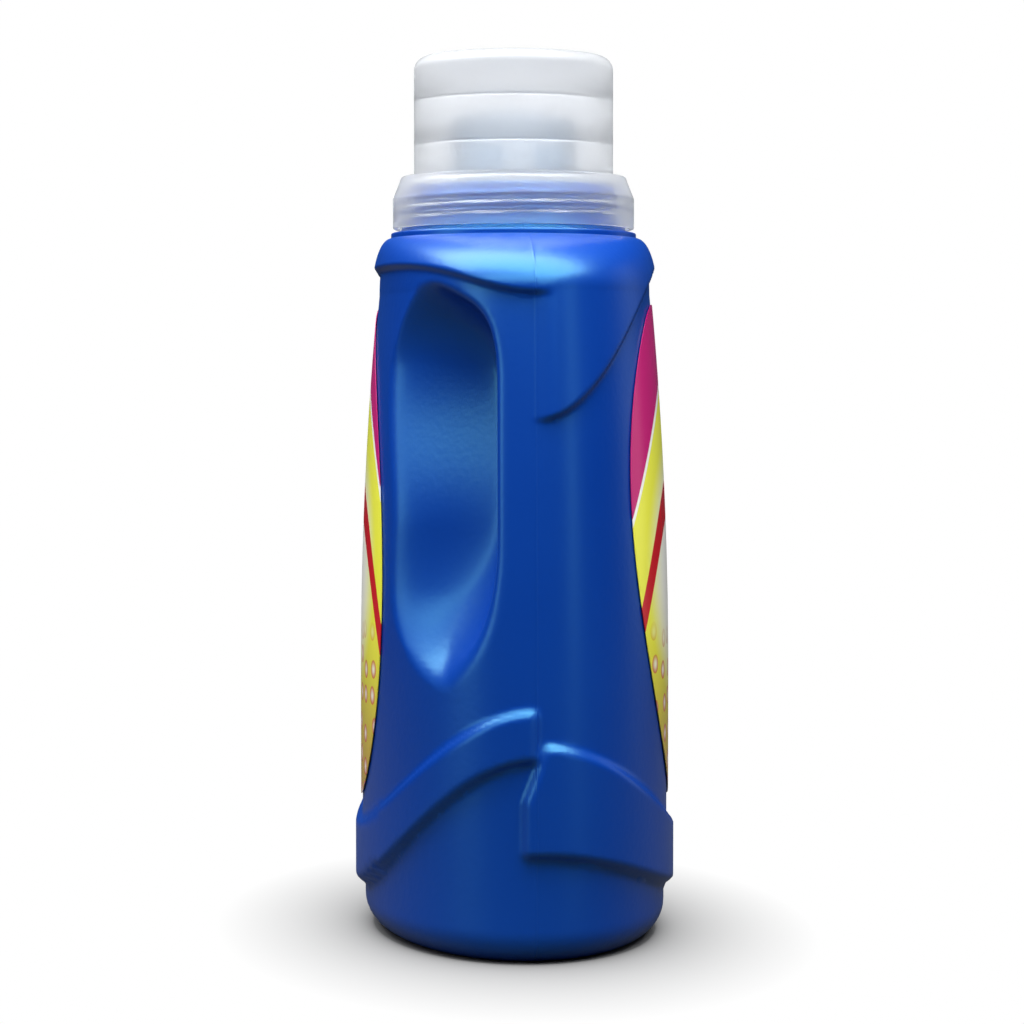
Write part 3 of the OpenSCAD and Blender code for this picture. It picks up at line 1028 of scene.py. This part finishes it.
    def build(self) -> bpy.types.Object:
        """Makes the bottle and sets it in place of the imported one.

        Returns:
            The bottle.
        """
        form = self.form
        levels = (form.heel, self.waist_z, self.upper_z, form.shoulder_z)
        side = np.concatenate([np.linspace(levels[k], levels[k + 1], steps, endpoint=False)
                               for k, steps in enumerate(self.side_steps)])
        inner = np.linspace(form.heel, form.shoulder_z, self.inner_steps, endpoint=False)
        outside = [self.base_rows(0.0, self.heel_steps[0]), self.side_rows(side, 0.0),
                   self.dome_rows(self.dome_steps[0], 0.0), self.neck_rows()]
        inside = [self.dome_rows(self.dome_steps[1], form.wall)[::-1],
                  self.side_rows(inner, form.wall)[::-1],
                  self.base_rows(form.wall, self.heel_steps[1])[::-1]]
        piece = MeshBench.wrap_sheet("bottle_skin", np.concatenate(outside + inside, axis=0), flip=True)
        MeshBench.smooth(piece, self.smooth_angle)
        piece.data.materials.append(self.finish.material())
        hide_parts("bottle")
        return piece


@dataclass
class Cap:
    """The see-through dosing cap: a threaded skirt, a cone, a ledge and a cup with two fill lines."""

    finish: ClearPlastic = ClearPlastic("cap plastic", srgb(242, 244, 247), 0.95, 0.42)
    thread: ScrewThread = ScrewThread(start=210.9, turns=1.9, crest=1.7, phase=0.1)
    columns: int = 256
    skirt_r: float = 36.0
    skirt_bore: float = 34.5
    ledge_r: float = 33.7
    cup_r: float = 29.7
    cup_bore: float = 28.2
    wall: float = 1.5
    foot_z: float = 207.9
    skirt_top: float = 216.7
    ledge_z: float = 223.45
    top_z: float = 259.05
    cup_edge: float = 4.0
    fill_lines: tuple[float, float] = (9.5, 22.5)
    line_t: float = 0.4
    top_rings: tuple[float, ...] = (0.0, 8.0, 16.0, 22.0)
    ceiling_rings: tuple[float, ...] = (20.0, 10.0, 0.0)
    edge_steps: tuple[int, int] = (11, 9)
    thread_step: float = 0.28
    smooth_angle: float = 40.0

    def outer_profile(self) -> list[tuple[float, float]]:
        """Draws the outside, from the middle of the top to the foot of the skirt.

        Returns:
            Radius and height of each corner.
        """
        run = [(r, self.top_z) for r in self.top_rings]
        for turn in np.linspace(0.5 * math.pi, 0.0, self.edge_steps[0]):
            run.append((self.cup_r - self.cup_edge * (1.0 - math.cos(turn)),
                        self.top_z - self.cup_edge * (1.0 - math.sin(turn))))
        z, ledge, cup = self.ledge_z, self.ledge_r, self.cup_r
        skirt, bore, top, foot = self.skirt_r, self.skirt_bore, self.skirt_top, self.foot_z
        run += [(cup, z + 20.0), (cup, z + 4.0), (cup, z + 0.7), (cup + 0.15, z + 0.25), (cup + 0.6, z),
                (ledge - 1.1, z), (ledge - 0.6, z - 0.05), (ledge - 0.2, z - 0.3), (ledge, z - 0.75),
                (ledge + 0.5, z - 2.1), (skirt - 0.25, top + 0.75), (skirt - 0.04, top + 0.3),
                (skirt, top - 0.1), (skirt, top - 4.0), (skirt, foot + 0.5), (skirt - 0.12, foot + 0.12),
                (skirt - 0.4, foot), (bore + 0.4, foot), (bore + 0.1, foot + 0.1)]
        return run

    def inner_profile(self) -> list[tuple[float, float]]:
        """Draws the inside, from the foot of the skirt to the middle of the top.

        Returns:
            Radius and height of each corner.
        """
        under, ledge = self.ledge_z - self.wall, self.ledge_r - self.wall
        skirt, cup, top = self.skirt_bore, self.cup_bore, self.skirt_top
        run = [(skirt, z) for z in np.arange(self.foot_z + 0.5, top, self.thread_step)]
        run += [(skirt - 0.1, top + 0.3), (ledge, under - 0.3), (ledge - 0.3, under), (cup + 0.3, under),
                (cup, under + 0.3)]
        for line in self.fill_lines:
            z, t = self.ledge_z + line, self.line_t
            run += [(cup, z - 2.2 * t), (cup - 0.5 * t, z - 1.5 * t), (cup - t, z - t), (cup - t, z),
                    (cup - 0.5 * t, z + 0.5 * t), (cup, z + 1.2 * t)]
        inside = self.cup_edge - self.wall
        for turn in np.linspace(0.0, 0.5 * math.pi, self.edge_steps[1]):
            run.append((self.cup_bore - inside * (1.0 - math.cos(turn)),
                        self.top_z - self.wall - inside * (1.0 - math.sin(turn))))
        return run + [(r, self.top_z - self.wall) for r in self.ceiling_rings]

    def build(self) -> bpy.types.Object:
        """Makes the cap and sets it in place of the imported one.

        Returns:
            The cap.
        """
        outer, inner = self.outer_profile(), self.inner_profile()
        profile = np.array(outer + inner)
        around = np.linspace(-math.pi, math.pi, self.columns + 1)
        angle = np.repeat(around[None, :], len(profile), axis=0)
        z = np.repeat(profile[:, 1:], len(around), axis=1)
        in_skirt = (np.arange(len(profile)) >= len(outer)) & (profile[:, 1] < self.skirt_top)
        radius = profile[:, :1] - np.where(in_skirt[:, None], self.thread.bulge(angle, z), 0.0)
        points = np.stack([radius * np.cos(angle), radius * np.sin(angle), z], axis=-1)
        points[:, -1] = points[:, 0]
        piece = MeshBench.wrap_sheet("cap_shell", points, flip=True)
        MeshBench.smooth(piece, self.smooth_angle)
        piece.data.materials.append(self.finish.material())
        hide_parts("cap")
        return piece


@dataclass
class PourSpout:
    """The pouring insert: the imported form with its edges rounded."""

    finish: ClearPlastic = ClearPlastic("insert plastic", srgb(232, 241, 250), 0.9, 0.3)
    edge: float = 0.3
    edge_steps: int = 2
    weld: float = 1e-6
    sharp_angle: float = 50.0
    smooth_angle: float = 35.0

    def build(self, packed: bpy.types.Object) -> bpy.types.Object:
        """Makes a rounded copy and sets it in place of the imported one.

        Args:
            packed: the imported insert, left as it is.

        Returns:
            The copy.
        """
        piece = packed.copy()
        piece.data = packed.data.copy()
        piece.name = "insert"
        piece.parent = None
        piece.hide_render = False
        piece.hide_viewport = False
        bpy.context.collection.objects.link(piece)
        MeshBench.edit(piece)
        bpy.ops.mesh.remove_doubles(threshold=self.weld)
        bpy.ops.mesh.normals_make_consistent(inside=False)
        MeshBench.leave()
        bevel = piece.modifiers.new("edges", "BEVEL")
        bevel.width = self.edge * MM
        bevel.segments = self.edge_steps
        bevel.limit_method = "ANGLE"
        bevel.angle_limit = math.radians(self.sharp_angle)
        MeshBench.apply(piece, bevel)
        MeshBench.smooth(piece, self.smooth_angle)
        piece.data.materials.clear()
        piece.data.materials.append(self.finish.material())
        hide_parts("pour_spout")
        return piece


@dataclass
class Label:
    """Film label: a leaning oval laid on the side of the body."""

    side: Side
    node: str
    form: BodyForm
    film: bpy.types.Material
    offset: float = 12.0
    middle_z: float = 112.0
    half_width: float = 43.0
    half_height: float = 73.0
    lean: float = 0.12
    film_t: float = 0.2
    gap: float = 0.3
    columns: int = 72
    rows: int = 110
    smooth_angle: float = 40.0

    def build(self) -> bpy.types.Object:
        """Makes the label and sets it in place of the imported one.

        Returns:
            The label.
        """
        form = self.form
        turn = np.linspace(-0.5 * math.pi, 0.5 * math.pi, self.rows + 1)[:, None]
        across = np.linspace(-1.0, 1.0, self.columns + 1)[None, :]
        up = self.half_height * np.sin(turn) * np.ones_like(across)
        z = self.middle_z + up
        x = -self.offset - self.lean * up + self.half_width * np.cos(turn) * across
        width, depth = form.half_width(z), form.half_depth(z)
        y = -depth * np.sqrt(1.0 - (x / width) ** 2)
        away = np.stack([x / width**2, y / depth**2], axis=-1)
        away /= np.linalg.norm(away, axis=-1, keepdims=True)
        sign = -float(self.side.value)
        x = x + self.gap * away[..., 0]
        y = y + self.gap * away[..., 1]
        points = np.stack([sign * x, sign * y, z], axis=-1)
        piece = MeshBench.wrap_sheet(f"{self.side.name.lower()}_film", points, flip=False)
        thick = piece.modifiers.new("film", "SOLIDIFY")
        thick.thickness = self.film_t * MM
        thick.offset = 1.0
        MeshBench.apply(piece, thick)
        self.lay_print(piece, sign)
        MeshBench.smooth(piece, self.smooth_angle)
        piece.data.materials.append(self.film)
        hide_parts(self.node)
        return piece

    def lay_print(self, piece: bpy.types.Object, sign: float) -> None:
        """Lays the UV map over the film, upright and from edge to edge.

        Args:
            piece: the film.
            sign: 1 for the front, -1 for the back, which is the front turned half round.
        """
        mesh = piece.data
        places = np.empty(3 * len(mesh.vertices), np.float32)
        mesh.vertices.foreach_get("co", places)
        places = places.reshape(-1, 3) / MM
        corners = np.empty(len(mesh.loops), np.int32)
        mesh.loops.foreach_get("vertex_index", corners)
        u = 0.5 + 0.5 * (sign * places[:, 0] + self.offset) / self.half_width
        v = 0.5 + 0.5 * (places[:, 2] - self.middle_z) / self.half_height
        layer = mesh.uv_layers.active or mesh.uv_layers.new(name="print")
        laid = np.stack([u[corners], v[corners]], axis=-1)
        layer.data.foreach_set("uv", laid.astype(np.float32).ravel())


@dataclass
class Lamp:
    """A soft area light.

    Args:
        name: its name.
        place: where it stands, in metres.
        aim: what it points at.
        width: its width.
        height: its height.
        power: its power in watts.
    """

    name: str
    place: tuple[float, float, float]
    aim: tuple[float, float, float]
    width: float
    height: float
    power: float

    def build(self) -> bpy.types.Object:
        """Makes the light.

        Returns:
            The light.
        """
        MeshBench.clear_selection()
        bpy.ops.object.light_add(type="AREA", location=self.place)
        lamp = bpy.context.object
        lamp.name = self.name
        lamp.data.shape = "RECTANGLE"
        lamp.data.size = self.width
        lamp.data.size_y = self.height
        lamp.data.energy = self.power
        toward = Vector(self.aim) - Vector(self.place)
        lamp.rotation_euler = toward.to_track_quat("-Z", "Y").to_euler()
        return lamp


@dataclass
class Studio:
    """Pale floor with a painted shadow round the bottle, white surround, soft lights and the camera that the
    photograph was taken from.
    """

    azimuth: float = -95.0
    distance: float = 0.9
    camera_z: float = 0.160
    focal_px: float = 3000.0
    drop_px: float = 122.0
    frame_px: float = 1024.0
    shift_px: float = -1.5
    floor_size: float = 8.0
    # dark floor colour of the painted shadow round the bottle, as the camera sees it
    painted_shadow_floor: Colour = (0.13, 0.13, 0.132, 1.0)
    floor_bounce: Colour = (0.06, 0.06, 0.06, 1.0)
    floor_roughness: float = 0.6
    floor_specular: float = 0.1
    # oval, start, run and power of the painted shadow's fade into the white glow
    painted_shadow_squeeze: float = 0.6
    painted_shadow_start: float = 0.042
    painted_shadow_run: float = 0.047
    painted_shadow_power: float = 0.5
    surround: float = 1.0
    ambient: float = 0.05
    back_edge: tuple[float, float] = (-0.35, 0.25)
    mirrored_back: float = 0.07
    mirrored_front: float = 0.02
    mirrored_tone: Colour = (0.32, 0.68, 1.0, 1.0)
    lamps: tuple[Lamp, ...] = (
        Lamp("top box", (-0.1, 0.05, 1.1), (0.0, 0.0, 0.1), 2.2, 0.9, 50.0),
        Lamp("front box", (-0.55, 0.14, 0.66), (0.0, 0.0, 0.2), 1.1, 0.35, 5.2),
        Lamp("left box", (-0.45, 1.1, 0.45), (0.0, 0.0, 0.14), 0.5, 0.8, 2.4),
        Lamp("right box", (0.6, -1.2, 0.4), (0.0, 0.0, 0.12), 0.5, 0.9, 0.6),
        Lamp("right strip", (-0.75, -0.8, 0.3), (0.0, 0.0, 0.12), 0.08, 0.6, 0.4),
    )

    def build(self) -> None:
        """Sets up the floor, surround, lights and camera."""
        self.lay_floor()
        self.set_surround()
        for lamp in self.lamps:
            lamp.build()
        self.place_camera()
        settings = bpy.context.scene.view_settings
        settings.view_transform = "Standard"

    def lay_floor(self) -> None:
        """Lays a matt floor with a painted shadow: dark near the bottle's oval, where it also takes the real
        shadow, and fading by distance into a white glow like the surround.
        """
        MeshBench.clear_selection()
        bpy.ops.mesh.primitive_plane_add(size=self.floor_size)
        floor = bpy.context.object
        floor.name = "floor"
        made, sheet = new_material("floor")
        place = sheet.node("ShaderNodeTexCoord").outputs["Object"]
        painted_shadow_oval = sheet.node("ShaderNodeVectorMath", operation="MULTIPLY")
        sheet.feed(painted_shadow_oval.inputs[0], place)
        painted_shadow_oval.inputs[1].default_value = (self.painted_shadow_squeeze, 1.0, 1.0)
        reach = sheet.node("ShaderNodeVectorMath", operation="LENGTH")
        sheet.feed(reach.inputs[0], painted_shadow_oval.outputs[0])
        matt = sheet.node("ShaderNodeBsdfPrincipled")
        seen = sheet.node("ShaderNodeLightPath").outputs["Is Camera Ray"]
        sheet.feed(matt.inputs["Base Color"], sheet.blend(seen, self.floor_bounce, self.painted_shadow_floor))
        matt.inputs["Roughness"].default_value = self.floor_roughness
        matt.inputs["Specular IOR Level"].default_value = self.floor_specular
        glow = sheet.node("ShaderNodeEmission")
        glow.inputs["Strength"].default_value = self.surround
        joined = sheet.node("ShaderNodeMixShader")
        # painted shadow: the camera sees the dark matt floor near the bottle, fading with distance from its
        # oval into the white glow
        away = sheet.math("MULTIPLY_ADD", reach.outputs["Value"], 1.0 / self.painted_shadow_run,
                          -self.painted_shadow_start / self.painted_shadow_run, clamp=True)
        glow_past_painted_shadow = sheet.math("MULTIPLY", sheet.math("POWER", away, self.painted_shadow_power), seen)
        sheet.feed(joined.inputs[0], glow_past_painted_shadow)
        sheet.feed(joined.inputs[1], matt.outputs[0])
        sheet.feed(joined.inputs[2], glow.outputs[0])
        sheet.feed(sheet.node("ShaderNodeOutputMaterial").inputs["Surface"], joined.outputs[0])
        floor.data.materials.append(made)

    def set_surround(self) -> None:
        """Makes a surround that is white to the eye and through the cap, and dim and cool in the gloss."""
        world = bpy.data.worlds.new("studio")
        bpy.context.scene.world = world
        world.use_nodes = True
        sheet = NodeSheet(world.node_tree)
        turn = math.radians(self.azimuth)
        forward = (-math.sin(turn), math.cos(turn), 0.0)
        along = sheet.node("ShaderNodeVectorMath", operation="DOT_PRODUCT")
        sheet.feed(along.inputs[0], sheet.node("ShaderNodeTexCoord").outputs["Generated"])
        along.inputs[1].default_value = forward
        behind = sheet.smooth(along.outputs["Value"], *self.back_edge)
        path = sheet.node("ShaderNodeLightPath")
        glossy = path.outputs["Is Glossy Ray"]
        through = sheet.math("GREATER_THAN", path.outputs["Transmission Depth"], 0.5)
        seen = sheet.math("ADD", path.outputs["Is Camera Ray"], through, clamp=True)
        mirrored = sheet.choose(behind, self.mirrored_front, self.mirrored_back)
        level = sheet.choose(glossy, self.ambient, mirrored)
        light = sheet.node("ShaderNodeBackground")
        sheet.feed(light.inputs["Strength"], sheet.choose(seen, level, self.surround))
        cool = sheet.math("SUBTRACT", glossy, through, clamp=True)
        sheet.feed(light.inputs["Color"], sheet.blend(cool, WHITE, self.mirrored_tone))
        sheet.feed(sheet.node("ShaderNodeOutputWorld").inputs["Surface"], light.outputs[0])

    def place_camera(self) -> None:
        """Places the camera."""
        turn = math.radians(self.azimuth)
        tilt = 0.5 * math.pi - math.atan(self.drop_px / self.focal_px)
        place = (math.sin(turn) * self.distance, -math.cos(turn) * self.distance, self.camera_z)
        bpy.ops.object.camera_add(location=place, rotation=(tilt, 0.0, turn))
        camera = bpy.context.object
        camera.data.sensor_width = SENSOR_MM
        camera.data.lens = SENSOR_MM * self.focal_px / self.frame_px
        camera.data.shift_x = self.shift_px / self.frame_px
        camera.data.dof.use_dof = False
        bpy.context.scene.camera = camera


@dataclass
class CleanerBottle:
    """The whole object: bottle, insert, cap and two labels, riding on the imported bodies."""

    bottle: Bottle = field(default_factory=Bottle)
    spout: PourSpout = field(default_factory=PourSpout)
    cap: Cap = field(default_factory=Cap)
    artwork: PrintedFilm = field(default_factory=PrintedFilm)

    def build(self, nodes: dict[str, bpy.types.Object]) -> list[bpy.types.Object]:
        """Builds every piece and sets it on its body.

        Args:
            nodes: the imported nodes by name.

        Returns:
            The pieces.
        """
        film = self.artwork.material()
        still = [self.bottle.build(), self.spout.build(nodes["pour_spout"])]
        for side, node in ((Side.FRONT, "front_label"), (Side.BACK, "back_label")):
            still.append(Label(side, node, self.bottle.form, film).build())
        for piece in still:
            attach(piece, "bottle")
        lid = self.cap.build()
        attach(lid, "cap")
        return still + [lid]


def main() -> None:
    """Loads the frame, dresses it and sets the studio."""
    logging.basicConfig(level=logging.INFO)
    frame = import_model()
    for piece in CleanerBottle().build(frame["nodes"]):
        LOG.info("%s: %d vertices, %d faces", piece.name, len(piece.data.vertices), len(piece.data.polygons))
    Studio().build()


if __name__ == "__main__":
    main()
